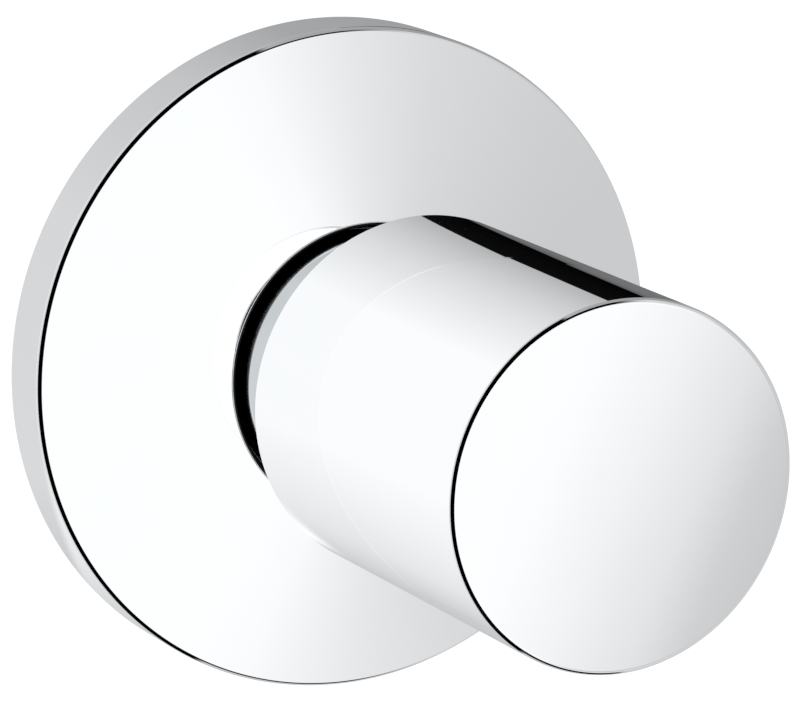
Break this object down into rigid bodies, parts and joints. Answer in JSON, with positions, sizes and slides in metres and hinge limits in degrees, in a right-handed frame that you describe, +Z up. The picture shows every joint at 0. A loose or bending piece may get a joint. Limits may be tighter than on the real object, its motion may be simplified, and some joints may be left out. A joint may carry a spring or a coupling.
{
  "type": "concealed stop valve",
  "caption": "Wall-fixed stop valve trim: plain round handle and conical round escutcheon in polished chrome, with its screw-down head part behind the wall.",
  "frame": {"origin": "centre of the escutcheon's back face, on the finished wall", "axes": "-Y out of the wall along the valve axis, +Y into the wall, +Z up, +X to the right seen from the front"},
  "size_m": [0.08, 0.1281, 0.08],
  "materials": {
    "chrome": "polished chrome plate",
    "brass": "turned, bare",
    "black_rubber": "moulded, matt",
    "grey_foam": "closed-cell foam rubber",
    "white_acetal": "turned, satin",
    "grey_plastic": "moulded, satin",
    "steel": "bright"
  },
  "bodies": {
    "wall_set": {"escutcheon": "chrome", "wall_seal": "grey_foam", "grip_ring": "black_rubber", "sleeve": "chrome", "glide_ring": "white_acetal", "head_body": "brass", "head_seal": "black_rubber", "glide_washer": "white_acetal"},
    "turning_set": {"handle": "chrome", "snap_insert": "grey_plastic", "handle_screw": "steel", "spindle_extension": "brass", "spindle": "brass", "spindle_ring_front": "black_rubber", "spindle_ring_rear": "black_rubber", "retaining_clip": "steel"},
    "piston_set": {"piston": "brass", "piston_ring": "black_rubber", "seat_washer": "black_rubber", "backing_washer": "brass", "seat_screw": "brass"}
  },
  "joints": [
    {"name": "handle_turn", "type": "hinge", "parent": "wall_set", "child": "turning_set", "pos_m": [0, 0, 0], "axis": [0, -1, 0], "range_deg": [0, 990]},
    {"name": "piston_lift", "type": "slide", "parent": "wall_set", "child": "piston_set", "axis": [0, -1, 0], "range_m": [0, 0.0055]}
  ],
  "couplings": [
    {"joint": "piston_lift", "follows": "handle_turn", "m_per_rad": 0.00031831}
  ]
}
